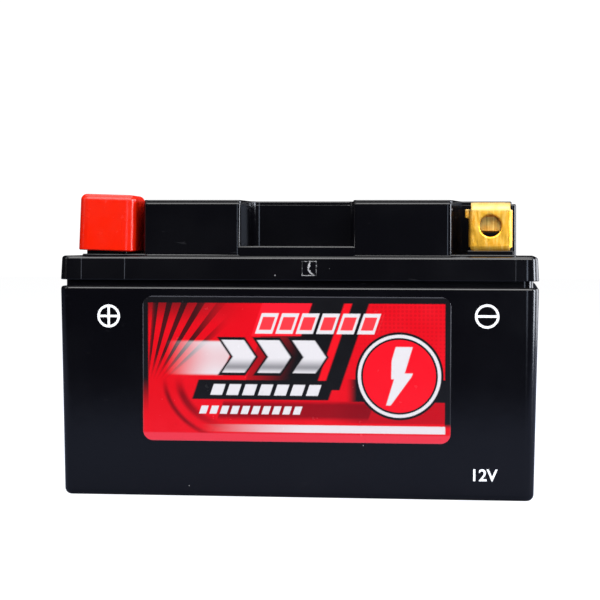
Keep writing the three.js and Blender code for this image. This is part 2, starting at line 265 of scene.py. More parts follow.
def finish_piece(name, bm, material, replaced=(), body=ROOT_BODY, bevel=0.0, sharp=35):
    """Makes the object from its mesh, with smooth rounded edges, on its body."""
    bmesh.ops.remove_doubles(bm, verts=bm.verts, dist=0.002 * MM)
    bmesh.ops.dissolve_degenerate(bm, edges=bm.edges, dist=0.002 * MM)
    mesh = new_mesh(name, bm)
    mesh.polygons.foreach_set("use_smooth", [True] * len(mesh.polygons))
    mesh.set_sharp_from_angle(angle=math.radians(sharp))
    mesh.materials.append(material)
    piece = bpy.data.objects.new(name, mesh)
    link(piece, body)
    if bevel:
        round_off(piece, bevel)
    weigh_normals(piece)
    if replaced:
        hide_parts(*replaced)


def round_off(piece, width, segments=3, angle=40):
    modifier = piece.modifiers.new("rounded_edges", "BEVEL")
    modifier.width = width * MM
    modifier.segments = segments
    modifier.limit_method = "ANGLE"
    modifier.angle_limit = math.radians(angle)
    modifier.harden_normals = False
    modifier.miter_outer = "MITER_ARC"


def weigh_normals(piece):
    modifier = piece.modifiers.new("even_shading", "WEIGHTED_NORMAL")
    modifier.keep_sharp = True
    modifier.weight = 95


# ------------- node arithmetic

def add_node(tree, kind, **inputs):
    """A new shader node, with inputs set to values or joined to sockets."""
    node = tree.nodes.new("ShaderNode" + kind)
    for name, value in inputs.items():
        slot = node.inputs[name.replace("_", " ")]
        if isinstance(value, bpy.types.NodeSocket):
            tree.links.new(value, slot)
        else:
            slot.default_value = value
    return node


class Field:
    """A number that a material's nodes work out, written as ordinary arithmetic."""

    def __init__(self, tree, socket):
        self.tree = tree
        self.socket = socket

    def compute(self, operation, *others, clamp=False):
        node = add_node(self.tree, "Math")
        node.operation = operation
        node.use_clamp = clamp
        for slot, value in zip(node.inputs, (self, *others)):
            if isinstance(value, Field):
                self.tree.links.new(value.socket, slot)
            else:
                slot.default_value = value
        return Field(self.tree, node.outputs[0])

    def __add__(self, other):
        return self.compute("ADD", other)

    def __sub__(self, other):
        return self.compute("SUBTRACT", other)

    def __mul__(self, other):
        return self.compute("MULTIPLY", other)

    def __truediv__(self, other):
        return self.compute("DIVIDE", other)

    __radd__ = __add__
    __rmul__ = __mul__

    def __rsub__(self, other):
        return self * -1 + other

    def __abs__(self):
        return self.compute("ABSOLUTE")

    def sine(self):
        return self.compute("SINE")

    def fraction(self):
        return self.compute("FRACT")

    def root(self):
        return self.compute("SQRT")

    def angle_to(self, other):
        return self.compute("ARCTAN2", other)

    def either(self, other):
        return self.compute("MAXIMUM", other)

    def ramp(self, low, high, to_low=0.0, to_high=1.0):
        """Goes smoothly from to_low at low to to_high at high."""
        if low > high:
            low, high, to_low, to_high = high, low, to_high, to_low
        node = add_node(self.tree, "MapRange", Value=self.socket, From_Min=low, From_Max=high,
                        To_Min=to_low, To_Max=to_high)
        node.interpolation_type = "SMOOTHSTEP"
        return Field(self.tree, node.outputs["Result"])

    def between(self, low, high, soft):
        """One inside a band and nought outside, with soft edges."""
        return self.ramp(low - soft, low + soft) * self.ramp(high + soft, high - soft)


SMOOTHEST = 0.03                    # the lowest roughness that any texture may reach


class Surface:
    """A procedural material in the making, with its textures in object space."""

    def __init__(self, name, colour, roughness, metallic=0.0, specular=0.5):
        self.material = bpy.data.materials.new(name)
        self.material.use_nodes = True
        self.tree = self.material.node_tree
        self.shader = self.tree.nodes["Principled BSDF"]
        self.colour = self.constant_colour(colour)
        self.rough = None
        self.height = None
        self.shader.inputs["Roughness"].default_value = roughness
        self.base_roughness = roughness
        self.shader.inputs["Metallic"].default_value = metallic
        self.shader.inputs["Specular IOR Level"].default_value = specular
        self.place = add_node(self.tree, "TexCoord").outputs["Object"]
        split = add_node(self.tree, "SeparateXYZ", Vector=self.place)
        self.x, self.y, self.z = (Field(self.tree, split.outputs[i]) / MM for i in range(3))

    def constant_colour(self, colour):
        node = add_node(self.tree, "RGB")
        node.outputs[0].default_value = (*colour, 1)
        return node.outputs[0]

    def noise(self, size, detail=2.0, stretch=(1, 1, 1), roughness=0.5):
        """Noise whose blobs are about size millimetres wide."""
        placed = add_node(self.tree, "Mapping", Scale=stretch, Vector=self.place)
        node = add_node(self.tree, "TexNoise", Scale=1 / (size * MM), Detail=detail,
                        Roughness=roughness, Vector=placed.outputs[0])
        return Field(self.tree, node.outputs["Fac"])

    def specks(self, size, share, radius, shift=(0, 0, 0)):
        """Small round specks, one in some of the cells of a size millimetre grid."""
        placed = add_node(self.tree, "Mapping", Location=shift, Vector=self.place)
        node = add_node(self.tree, "TexVoronoi", Scale=1 / (size * MM), Vector=placed.outputs[0])
        split = add_node(self.tree, "SeparateColor", Color=node.outputs["Color"])
        chosen = Field(self.tree, split.outputs[0]).ramp(1 - share, 1 - share + 0.01)
        near = Field(self.tree, node.outputs["Distance"]).ramp(radius, radius * 0.5)
        return chosen * near

    def paint(self, mask, colour):
        """Lays a plain colour over what is there, as far as the mask says."""
        node = add_node(self.tree, "Mix")
        node.data_type = "RGBA"
        self.tree.links.new(mask.socket, node.inputs[0])
        self.tree.links.new(self.colour, node.inputs[6])
        node.inputs[7].default_value = (*colour, 1)
        self.colour = node.outputs[2]
        return self

    def roughen(self, field):
        self.rough = field if self.rough is None else self.rough + field
        return self

    def raise_by(self, field, height):
        """Adds a relief of this height in millimetres."""
        step = field * height
        self.height = step if self.height is None else self.height + step
        return self

    def done(self):
        self.tree.links.new(self.colour, self.shader.inputs["Base Color"])
        if self.rough is not None:
            total = (self.rough + self.base_roughness).either(SMOOTHEST)
            self.tree.links.new(total.socket, self.shader.inputs["Roughness"])
        if self.height is not None:
            bump = add_node(self.tree, "Bump", Distance=MM, Height=self.height.socket)
            self.tree.links.new(bump.outputs[0], self.shader.inputs["Normal"])
        return self.material


# ------------- materials

def black_plastic(name, moulded_lines=()):
    """Glossy black polypropylene with faint flow marks, handling scratches and dust."""
    s = Surface(name, (0.0013, 0.0013, 0.0021), 0.15, specular=0.42)
    clouds = s.noise(22, detail=3)
    s.paint(clouds.ramp(0.4, 0.75, 0, 0.6), (0.0021, 0.0021, 0.003))
    scratches = s.noise(2.2, detail=3, stretch=(0.35, 0.6, 2.2)).ramp(0.72, 0.76)
    s.paint(scratches * 0.12, (0.03, 0.03, 0.034))
    dust = s.specks(5.5, 0.16, 0.045).either(s.specks(9, 0.3, 0.035, shift=(0.31, 0.17, 0.23)))
    s.paint(dust * 0.45, (0.45, 0.45, 0.46))
    s.roughen(clouds.ramp(0.35, 0.7, -0.015, 0.02)).roughen(scratches * 0.08).roughen(dust * 0.4)
    s.raise_by(s.noise(1.4, detail=2), 0.004).raise_by(s.noise(6, detail=1), 0.02)
    for x in moulded_lines:
        line = s.x.between(x - 0.1, x + 0.1, 0.1) * s.z.between(GROOVE_TOP, SHOULDER - 0.8, 0.2)
        s.paint(line * 0.5, (0.03, 0.03, 0.033)).raise_by(line, 0.04)
    return s


def lid_plastic():
    """The lid's plastic, with three upright witness lines and a torn gate mark on its front."""
    s = black_plastic("black_lid_plastic", moulded_lines=(-67.8, -54.0, 67.8))
    on_front = s.y.ramp(-HALF_Y + 0.9, -HALF_Y + 0.4)
    ragged = s.noise(0.9, detail=4, roughness=0.7) - 0.5
    gate_x, gate_z = s.x - 4.2 + ragged * 0.5, s.z - 71.7 + ragged * 0.4
    across, up = abs(gate_x), abs(gate_z)
    broken = s.noise(1.7, detail=3, roughness=0.7).ramp(0.44, 0.56, 0.12, 1.0)
    frame_mark = across.either(up).between(2.12, 2.26, 0.1) * broken
    tear = abs(gate_x + gate_z * 0.3 - abs(gate_z + 0.3) * 0.5 + ragged * 1.6 + 0.4).ramp(0.4, 0.1)
    tear = tear * up.ramp(2.1, 1.6) * across.ramp(2.2, 1.9)
    scar = frame_mark.either(tear) * on_front
    s.paint(scar * 0.75, (0.4, 0.4, 0.41))
    s.roughen(scar * 0.5).raise_by(scar, 0.08)
    return s.done()


def red_plastic():
    s = Surface("red_cap_plastic", (0.57, 0.0082, 0.0002), 0.24, specular=0.34)
    s.shader.inputs["Subsurface Weight"].default_value = 0.12
    s.shader.inputs["Subsurface Radius"].default_value = (0.002, 0.0004, 0.0002)
    clouds = s.noise(9, detail=3)
    s.paint(clouds.ramp(0.45, 0.75, 0, 0.55), (0.51, 0.012, 0.0008))
    scuffs = s.noise(2.2, detail=3).ramp(0.66, 0.76)
    s.paint(scuffs * 0.12, (0.6, 0.06, 0.04))
    s.roughen(clouds.ramp(0.3, 0.7, -0.03, 0.06)).roughen(scuffs * 0.15)
    s.raise_by(s.noise(0.9, detail=2), 0.006).raise_by(s.noise(4, detail=1), 0.02)
    return s.done()


def brass(name, streaks, colour=(0.96, 0.5, 0.045), contrast=0.35):
    """Rolled brass strip: fine streaks along the grain, warm tarnish, and a top band painted a paler,
    darker brass as a painted highlight tone.
    """
    s = Surface(name, colour, 0.45, metallic=1.0)
    grain = s.noise(0.9, detail=3, stretch=streaks)
    tarnish = s.noise(4.5, detail=4)
    s.paint(tarnish.ramp(0.42, 0.68, 0, 0.7), (0.66, 0.27, 0.012))
    s.paint(grain.ramp(0.46, 0.66, 0, contrast), (1.0, 0.74, 0.24))
    # Painted highlight: the top band is coloured a paler, darker brass so that the top fold's highlight
    # looks pale rather than saturated.
    painted_top_highlight = s.z.ramp(terminal_high.z - 3.2, terminal_high.z - 2.2)
    s.paint(painted_top_highlight * tarnish.ramp(0.75, 0.5, 0.6, 0.85), (0.44, 0.32, 0.12))
    s.paint(grain.ramp(0.44, 0.28, 0, contrast), (0.42, 0.19, 0.03))
    s.paint(s.specks(1.6, 0.1, 0.08) * 0.4, (0.28, 0.13, 0.03))
    s.roughen(tarnish.ramp(0.35, 0.7, -0.06, 0.1)).roughen((grain - 0.5) * 0.2)
    s.raise_by(grain, 0.01).raise_by(s.noise(3, detail=2), 0.05)
    return s.done()


def lead():
    s = Surface("cast_lead", (0.2, 0.21, 0.23), 0.5, metallic=0.85)
    mottle = s.noise(2.6, detail=5)
    s.paint(mottle.ramp(0.4, 0.65, 0, 0.8), (0.33, 0.34, 0.36))
    s.paint(s.noise(0.9, detail=3).ramp(0.6, 0.75, 0, 0.5), (0.08, 0.085, 0.095))
    s.roughen(mottle.ramp(0.3, 0.7, -0.1, 0.15)).raise_by(s.noise(0.8, detail=4), 0.06)
    return s.done()


def plate_paste(name, colour, dark, wire):
    """Active paste pressed into a cast grid, whose wires show through as a fine lattice."""
    s = Surface(name, colour, 0.85, specular=0.2)
    crumbs = s.noise(0.7, detail=5, roughness=0.65)
    lattice = abs((s.y / 5.0).fraction() - 0.5).ramp(0.44, 0.47).either(
        abs((s.z / 3.2).fraction() - 0.5).ramp(0.43, 0.47))
    s.paint(crumbs.ramp(0.4, 0.7), dark)
    s.paint(lattice * crumbs.ramp(0.7, 0.45, 0.2, 0.9), wire)
    s.roughen((crumbs - 0.5) * 0.2).raise_by(crumbs, 0.08).raise_by(lattice, 0.06)
    return s.done()


def glass_mat():
    s = Surface("glass_mat", (0.82, 0.82, 0.78), 0.95, specular=0.15)
    along_y = s.noise(0.5, detail=4, stretch=(1, 0.25, 1.4))
    along_z = s.noise(0.5, detail=4, stretch=(1, 1.5, 0.2))
    fibres = along_y.either(along_z)
    s.paint(fibres.ramp(0.5, 0.75), (0.95, 0.95, 0.92))
    s.paint(s.noise(12).ramp(0.55, 0.75, 0, 0.35), (0.66, 0.66, 0.6))
    s.raise_by(fibres, 0.12)
    return s.done()


def black_rubber():
    s = Surface("black_rubber", (0.014, 0.014, 0.014), 0.62, specular=0.35)
    bloom = s.noise(3.0, detail=4)
    s.paint(bloom.ramp(0.5, 0.75, 0, 0.6), (0.04, 0.04, 0.042))
    s.roughen((bloom - 0.5) * 0.25).raise_by(s.noise(0.3, detail=3), 0.02)
    return s.done()


def white_ink():
    s = Surface("white_print", (0.78, 0.79, 0.8), 0.5, specular=0.4)
    wear = s.noise(0.35, detail=3)
    s.paint(wear.ramp(0.58, 0.78, 0, 0.5), (0.42, 0.42, 0.44))
    s.roughen((wear - 0.5) * 0.3).raise_by(wear, 0.01)
    return s.done()


def label_film():
    """A printed film: red and black panels with speed stripes, rays, dots, chevrons and a bolt."""
    s = Surface("label_film", (0.54, 0.002, 0.0075), 0.22, specular=0.45)
    width = label_high.x - label_low.x
    height = label_high.z - label_low.z
    u = (s.x - label_low.x) / width
    v = (s.z - label_low.z) / height
    soft = 0.004
    slant = u - v * 0.16                    # lines of equal slant lean to the right going up
    black = (0.004, 0.004, 0.005)
    white = (0.54, 0.52, 0.53)

    def strip(left, right, bottom, top):
        """A slanted strip of the label."""
        return slant.between(left, right, soft) * v.between(bottom, top, soft)

    # Red ground, darker to the left.
    s.paint(u.ramp(0.0, 0.55, 0.35, 0.0), (0.5, 0.001, 0.004))
    s.paint(s.noise(14, detail=3).ramp(0.45, 0.7, 0, 0.4), (0.6, 0.004, 0.012))

    # Dots in the right-hand panel, smaller towards the bottom.
    dots_u = (u * 74).fraction() - 0.5
    dots_v = (v * 36).fraction() - 0.5
    distance = (dots_u * dots_u + dots_v * dots_v).root()
    dots = (distance - v.ramp(0.2, 0.95, 0.0, 0.34)).ramp(0.05, -0.05)
    s.paint(dots * u.ramp(0.62, 0.8) * v.ramp(0.42, 0.46) * 0.6, (0.4, 0.002, 0.006))

    # Rays that fan out from low on the left edge.
    from_u = (u - 0.01) * (width / height)
    from_v = v - 0.3
    bearing = from_v.angle_to(from_u)
    rays = (bearing * 44).sine().ramp(0.05, 0.45)
    fan = rays * bearing.between(0.72, 1.5, 0.05) * u.ramp(0.3, 0.16) * v.ramp(0.4, 0.62)
    s.paint(fan * 0.92, black)
    s.paint(v.ramp(0.78, 0.97) * u.ramp(0.4, 0.1) * 0.7, black)

    # Curved shadows low on the left.
    curl_u = (u - 0.3) * (width / height)
    curl_v = (v - 0.44) * 1.15
    curl = (curl_u * curl_u + curl_v * curl_v).root()
    shadow = curl.between(0.36, 0.41, 0.02).either(curl.between(0.47, 0.5, 0.015))
    s.paint(shadow * u.ramp(0.3, 0.12) * v.ramp(0.46, 0.3) * 0.75, (0.05, 0.0, 0.002))

    # Black and dark red bands across the right, down to the ground stripe.
    s.paint(u.ramp(0.66, 0.7) * v.between(0.281, 0.436, soft), black)
    s.paint(u.ramp(0.6, 0.72) * v.between(0.134, 0.281, soft) * 0.55, (0.22, 0.0, 0.004))

    # Black slanted field across the middle, with red cuts.
    field = strip(0.27, 0.585, 0.36, 0.96)
    s.paint(field * slant.ramp(0.24, 0.42, 0.4, 1.0), black)
    s.paint(strip(0.24, 0.4, 0.73, 0.96), (0.75, 0.008, 0.02))
    s.paint(strip(0.505, 0.53, 0.36, 0.96), (0.62, 0.004, 0.01))

    # Silver speed streaks that fade out to the left.
    streak = (v * 19).sine() * 0.12 + 0.88
    fade = u.ramp(0.07, 0.24) * slant.ramp(0.195, 0.185)
    s.paint(fade * v.between(0.46, 0.69, 0.01) * streak, white)

    # Three silver chevrons in the middle, with a grey lower half and a dark shadow line.
    fold = abs(v - 0.585)
    for chevron in range(3):
        place = u + fold * 0.32 - 0.345 - chevron * 0.115
        tall = v.between(0.475, 0.7, soft)
        s.paint(place.between(-0.058, 0.033, soft) * v.between(0.455, 0.72, soft), black)
        s.paint(place.between(-0.049, 0.024, soft) * tall, white)
        shade = v.ramp(0.585, 0.5, 0, 0.85) * v.ramp(0.47, 0.52)
        s.paint(place.between(-0.049, 0.024, soft) * tall * shade, (0.1, 0.1, 0.11))

    # A row of short red bars with white edges above the chevrons.
    bars = ((slant - 0.245) / 0.066).fraction()
    row = strip(0.245, 0.642, 0.745, 0.885)
    s.paint(row * bars.between(0.06, 0.9, 0.03), white)
    core = strip(0.245, 0.642, 0.77, 0.86)
    s.paint(core * bars.between(0.18, 0.78, 0.03), (0.78, 0.03, 0.04))

    # Black slanted bar with a row of white dashes.
    s.paint(strip(0.115, 0.56, 0.29, 0.425), black)
    dashes = ((slant - 0.165) / 0.052).fraction().between(0.1, 0.84, 0.03)
    s.paint(dashes * strip(0.165, 0.529, 0.32, 0.395), white)

    # Thinner dashes on red, under the bar.
    s.paint(slant.between(0.22, 0.71, soft) * v.between(0.16, 0.275, 0.02) * 0.8, (0.12, 0.0, 0.003))
    thin = ((slant - 0.15) / 0.034).fraction().between(0.12, 0.8, 0.04)
    s.paint(thin * strip(0.15, 0.49, 0.19, 0.245), white)

    # White ground stripe that fades out to the left.
    s.paint(u.ramp(0.18, 0.55) * u.ramp(0.985, 0.98) * v.between(0.066, 0.118, 0.004) * 0.95, white)

    # A plain bolt in a dark ring on the right, which stands for electric power.
    bolt_u = (u - 0.835) * (width / height)
    bolt_v = v - 0.46
    ring = (bolt_u * bolt_u + bolt_v * bolt_v).root()
    s.paint(ring.ramp(0.305, 0.297), black)
    s.paint(ring.between(0.262, 0.284, 0.004), white)
    s.paint(ring.ramp(0.252, 0.246), (0.62, 0.004, 0.012))
    lean = bolt_u - bolt_v * 0.3
    upper = lean.between(-0.085, 0.03, 0.005) * bolt_v.between(-0.02, 0.2, 0.005)
    upper = upper * (lean + bolt_v * 0.28).ramp(-0.06, -0.05)
    lower = lean.between(-0.03, 0.085, 0.005) * bolt_v.between(-0.2, 0.02, 0.005)
    lower = lower * (lean + bolt_v * -0.42 - 0.085).ramp(0.005, -0.005)
    s.paint(upper.either(lower), white)

    # Black frame: a full band on top and on the right, and fading down the left edge.
    s.paint(v.ramp(0.95, 0.957), black)
    s.paint(u.ramp(0.979, 0.983) * v.ramp(0.1, 0.14), black)
    s.paint(u.ramp(0.021, 0.016) * v.ramp(0.16, 0.45), black)
    s.paint(v.ramp(0.062, 0.05), (0.56, 0.026, 0.044))

    # Clear margin of the film at its rounded edge, painted as a light grey line, a painted highlight that
    # grows stronger towards the top; then print grain and fine scuffs.
    edge = (abs(u - 0.5) * width - width / 2).either(abs(v - 0.5) * height - height / 2)
    s.paint(edge.ramp(-0.36, -0.22) * v.ramp(0.3, 0.6, 0.25, 0.7), (0.06, 0.06, 0.07))
    s.paint(s.noise(1.2, detail=2).ramp(0.62, 0.8, 0, 0.08), black)
    scuffs = s.noise(2.4, detail=3).ramp(0.68, 0.74)
    s.roughen(scuffs * 0.15).roughen((s.noise(7, detail=3) - 0.5) * 0.1)
    s.raise_by(s.noise(11, detail=1), 0.012)
    return s.done()


CONTAINER_PLASTIC = black_plastic("black_container_plastic").done()
LID_PLASTIC = lid_plastic()
RED_PLASTIC = red_plastic()
STRIP_BRASS = brass("strip_brass", (1.3, 0.3, 0.2))
NUT_BRASS = brass("nut_brass", (1.5, 1.5, 0.06), colour=(0.86, 0.56, 0.15), contrast=0.85)
LEAD = lead()
RUBBER = black_rubber()
INK = white_ink()
LABEL_FILM = label_film()


# ------------- container

def container():
    """One skin: up the outside, over the rim and down the inside to the floor."""
    outline = centred(HALF_X, HALF_Y, CORNER, steps=8)

    def leaning(z, inset):
        return z, inset + DRAFT * (1 - z / RIM)

    foot, lip = 2.0, 0.9
    levels = arc_levels((0, foot), (foot, 0), "leave_flat", steps=6)
    levels += arc_levels((RIM - lip, 0), (RIM, lip), "leave_wall", steps=3)
    levels += [(RIM, WALL), (WALL + 1, WALL), (WALL, WALL + 0.8)]
    shell = tower(outline, [leaning(z, inset) for z, inset in levels])
    finish_piece("container_shell", shell, CONTAINER_PLASTIC,
                 replaced=["container"])


def cell_partitions():
    """The five walls between the cells, each with its round weld window."""
    low, high = node_box("cell_link_1")
    thickness = 1.6
    pitch = (2 * HALF_X - 2 * WALL + thickness) / len(CELLS)
    window = (high.z - low.z) / 2 + 0.3
    half = HALF_Y - WALL - DRAFT - 0.05
    for gap in range(1, len(CELLS)):
        link_low, link_high = node_box(f"cell_link_{gap}")
        middle = (link_low + link_high) / 2
        left = (gap - len(CELLS) / 2) * pitch - thickness / 2
        bm = bmesh.new()
        outer = [(half, RIM - 0.1), (-half, RIM - 0.1), (-half, WALL), (half, WALL)]
        holes = [circle(middle.y, middle.z, window, steps=24)]
        fill_outline(bm, outer, holes, lambda a, b: Vector((left, a, b)))
        thicken(bm, Vector((thickness, 0, 0)))
        finish_piece(f"cell_partition_{gap}", bm, CONTAINER_PLASTIC)


def fill_outline(bm, outer, holes, place):
    """A flat sheet with holes in it; place turns its own two coordinates into a point."""
    edges = []
    for loop in [outer, *holes]:
        corners = [bm.verts.new(place(a, b) * MM) for a, b in loop]
        edges += [bm.edges.new((corners[i - 1], corners[i])) for i in range(len(corners))]
    bmesh.ops.triangle_fill(bm, edges=edges, use_beauty=True)


def thicken(bm, offset):
    """Turns a flat sheet into a solid by a straight offset in millimetres."""
    result = bmesh.ops.extrude_face_region(bm, geom=list(bm.faces))
    moved = [item for item in result["geom"] if isinstance(item, bmesh.types.BMVert)]
    bmesh.ops.translate(bm, verts=moved, vec=offset * MM)
    flip_out(bm)


def flip_out(bm):
    bmesh.ops.recalc_face_normals(bm, faces=bm.faces)
    if bm.calc_volume(signed=True) < 0:
        bmesh.ops.reverse_faces(bm, faces=bm.faces)


# ------------- lid

def block_outline(inset_ends=0.0):
    """The raised block seen from above: two terminal recesses, and the notch between them."""
    end = BLOCK_X - inset_ends
    front = -BLOCK_Y + inset_ends * 0.35
    back = RECESS_BACK
    notch_in = NOTCH_X - NOTCH_LEAN
    return filleted([
        (end, BLOCK_Y, 3.0),
        (-end, BLOCK_Y, 3.0),
        (-end, back, 1.4),
        (-RECESS_X - RECESS_LEAN, back, 0),
        (-RECESS_X, front, 1.7),
        (-NOTCH_X, front, 1.4),
        (-notch_in, back, 2.5),
        (notch_in, back, 2.5),
        (NOTCH_X, front, 1.4),
        (RECESS_X, front, 1.7),
        (RECESS_X + RECESS_LEAN, back, 0),
        (end, back, 1.4),
    ], steps=6)


def lid():
    """Neck, shoulder, block and panel in one piece, hollow from below, with the valve trough."""
    neck = tower(centred(HALF_X - GROOVE_DEPTH, HALF_Y - GROOVE_DEPTH, CORNER - 1, steps=8),
                 [(RIM, 0), (GROOVE_TOP + 1, 0)])
    edge, lower, lean, top_lean = 1.0, 0.25, 0.35, 0.4
    shoulder_levels = arc_levels((GROOVE_TOP, lower), (GROOVE_TOP + lower, 0), "leave_flat", steps=3)
    shoulder_levels += arc_levels((SHOULDER - edge, lean), (SHOULDER, top_lean + edge),
                                  "leave_wall", steps=6)
    shoulder = tower(centred(HALF_X, HALF_Y, CORNER, steps=8), shoulder_levels)

    # The block and the pads start under the shoulder, so that they join it with no seam.
    under = SHOULDER - 2
    fillet, top_edge, lean = 0.5, 0.6, 0.1
    step_top = BLOCK_TOP - PANEL_STEP
    block_levels = [(under, -fillet)]
    block_levels += arc_levels((SHOULDER, -fillet), (SHOULDER + fillet, 0), "leave_flat", steps=3)
    block_levels += arc_levels((step_top - top_edge, lean), (step_top, lean + top_edge),
                               "leave_wall", steps=5)
    block = tower(block_outline(), block_levels)
    panel_inset, panel_edge = 1.4, 0.4
    panel = tower(block_outline(inset_ends=panel_inset),
                  rounded_top(step_top - 1, BLOCK_TOP, panel_edge, steps=3, inset=0.15))

    # Floors of the notch and of the two recesses, and the toes in front of the terminals.
    floor_back, beside_notch = RECESS_BACK + 2, NOTCH_X + 1.5
    pads = [tower(rectangle(-beside_notch, beside_notch, -BLOCK_Y + 0.15, floor_back, 0.8, steps=3),
                  rounded_top(under, NOTCH_FLOOR, 0.5, steps=4))]
    for side in SIDES.values():
        ends = sorted((side * (RECESS_X - 1), side * (BLOCK_X - 0.2)))
        pads.append(tower(rectangle(*ends, -BLOCK_Y + 0.3, floor_back, 0.6, steps=3),
                          rounded_top(under, RECESS_FLOOR, 0.3, steps=3)))
    toe_edge, toe_corner = 0.25, 0.3
    for pole, side in SIDES.items():
        x, half = side * TERMINAL_X, TOE_HALF[pole]
        pads.append(tower(rectangle(x - half, x + half, TOE_FRONT, TOE_BACK, toe_corner, steps=3),
                          [(SHOULDER - 1, 0), (TOE_TOP - toe_edge, 0), (TOE_TOP, toe_edge)]))
    body = combine("lid_body", "UNION", neck, [shoulder, block, panel, *pads])

    def room(half_x, front, back, radius, bottom, top, steps=2):
        return tower(rectangle(-half_x, half_x, front, back, radius, steps), [(bottom, 0), (top, 0)])

    gap, slack = 0.3, 0.1
    seat = cover_low.z
    trough_front, trough_back, trough_wall = 2.0, 22.0, 2.2
    hollow_x, hollow_front, hollow_back = 65.5, -17.0, 39.5
    neck_ceiling, ceiling, under_trough = 73.0, 88.5, 80.9
    foot = neck_ceiling - 0.5
    rooms = [
        room(60.5, trough_front, trough_back, 1.5, TROUGH_FLOOR, seat + 1, steps=3),
        room(cover_high.x + gap, cover_low.y - gap, cover_high.y + gap, 3.0, seat, BLOCK_TOP + 1, steps=6),
        room(HALF_X - 5, -HALF_Y + 4, HALF_Y - 4, 2, RIM - 1, neck_ceiling, steps=3),
        room(hollow_x, hollow_front, trough_front - trough_wall, 1, foot, ceiling),
        room(hollow_x, trough_back + trough_wall, hollow_back, 1, foot, ceiling),
        room(hollow_x - slack, hollow_front + slack, hollow_back - slack, 1, foot, under_trough),
    ]
    body = combine("lid_hollow", "DIFFERENCE", body, rooms)
    finish_piece("lid_shell", body, LID_PLASTIC, replaced=["lid"], sharp=30)


def filler_necks():
    """The six necks in the trough that the vent valves sit on."""
    radius, wall, edge = 4.6, 1.5, 0.4
    levels = rounded_top(TROUGH_FLOOR - 0.2, NECK_TOP, edge, steps=3)
    levels += [(NECK_TOP, wall), (TROUGH_FLOOR - 0.1, wall)]
    for cell in CELLS:
        low, high = node_box(f"vent_valve_{cell}")
        neck = tower(circle((low.x + high.x) / 2, (low.y + high.y) / 2, radius, steps=36), levels)
        finish_piece(f"filler_neck_{cell}", neck, LID_PLASTIC)


def top_cover():
    """A plate with a rounded rim and a shallow field, glued over the valves."""
    corner, rim_edge = 2.7, 0.35
    rim_width, field_inset, field_depth = 2.0, 2.3, 0.25
    top = cover_high.z
    levels = rounded_top(cover_low.z, top, rim_edge, steps=4)
    levels += [(top, rim_width), (top - field_depth, field_inset)]
    plate = tower(rectangle(cover_low.x, cover_high.x, cover_low.y, cover_high.y, corner, steps=8), levels)
    finish_piece("valve_cover", plate, LID_PLASTIC, replaced=["top_cover"])


# ------------- terminals

SIDE_BEND = 1.7                     # outer radii of the folds
TOP_BEND = 2.8


def fold(distance, flat_edge, bend):
    """Where a point of the blank lies after the fold: (distance out, depth back)."""
    past = distance - flat_edge
    if past <= 0:
        return distance, 0.0
    quarter = bend * math.pi / 2
    if past < quarter:
        angle = past / bend
        return flat_edge + bend * math.sin(angle), bend * (1 - math.cos(angle))
    return flat_edge + bend, bend + past - quarter


def blank_outline(flat_x, flat_z, arm_x, arm_z):
    """The flat blank: four arms round a square, with small rounded notches between them."""
    side_lap, top_lap, notch_corner, tip = 1.1, 0.45, 0.4, 0.7
    inner_x, inner_z = flat_x + side_lap, flat_z + top_lap
    corners = []
    for sign_x, sign_z in ((1, 1), (-1, 1), (-1, -1), (1, -1)):
        quarter = [
            (sign_x * (flat_x + arm_x), sign_z * inner_z, tip),
            (sign_x * inner_x, sign_z * inner_z, notch_corner),
            (sign_x * inner_x, sign_z * (flat_z + arm_z), tip),
        ]
        corners += quarter if sign_x == sign_z else reversed(quarter)
    return filleted(corners, steps=4)


def folded_box(side):
    """The terminal box: a cross-shaped blank with two bolt holes, folded back on four sides."""
    half_x = terminal_high.x - TERMINAL_X
    half_z = (terminal_high.z - RECESS_FLOOR) / 2
    middle_z = RECESS_FLOOR + half_z
    front = terminal_low.y
    flat_x, flat_z = half_x - SIDE_BEND, half_z - TOP_BEND
    side_quarter, top_quarter = SIDE_BEND * math.pi / 2, TOP_BEND * math.pi / 2
    arm_x = side_quarter + terminal_high.y - front - SIDE_BEND
    arm_z = top_quarter + terminal_high.y - front - TOP_BEND
    top_hole = flat_z + top_quarter + NUT_Y - front - TOP_BEND
    holes = [circle(0, height, BOLT_HOLE, steps=48) for height in (BOLT_Z - middle_z, top_hole)]
    outline = blank_outline(flat_x, flat_z, arm_x, arm_z)
    bm = bmesh.new()
    fill_outline(bm, outline, holes, lambda a, b: Vector((a, 0, b)))
    lines = 9
    folds = ((Vector((1, 0, 0)), flat_x, side_quarter), (Vector((0, 0, 1)), flat_z, top_quarter))
    for step in range(lines + 1):
        for normal, edge, quarter in folds:
            line = edge + quarter * step / lines
            for sign in (-1, 1):
                bmesh.ops.bisect_plane(bm, geom=bm.verts[:] + bm.edges[:] + bm.faces[:],
                                       plane_co=normal * sign * line * MM, plane_no=normal)
    for vert in bm.verts:
        a, b = vert.co.x / MM, vert.co.z / MM
        out_a, back_a = fold(abs(a), flat_x, SIDE_BEND)
        out_b, back_b = fold(abs(b), flat_z, TOP_BEND)
        vert.co = Vector((
            side * TERMINAL_X + math.copysign(out_a, a),
            front + back_a + back_b,
            middle_z + math.copysign(out_b, b),
        )) * MM
    bmesh.ops.recalc_face_normals(bm, faces=bm.faces)
    bm.faces.ensure_lookup_table()
    facing = min(bm.faces, key=lambda face: face.calc_center_median().y)
    if facing.normal.y > 0:
        bmesh.ops.reverse_faces(bm, faces=bm.faces)
    return bm


def give_thickness(name, bm, thickness):
    """The sheet as a solid of this thickness, laid on its inner side."""
    holder = hold(name, bm)
    wall = holder.modifiers.new("wall", "SOLIDIFY")
    wall.thickness = thickness * MM
    wall.offset = -1
    wall.use_even_offset = True
    return take_back(holder)


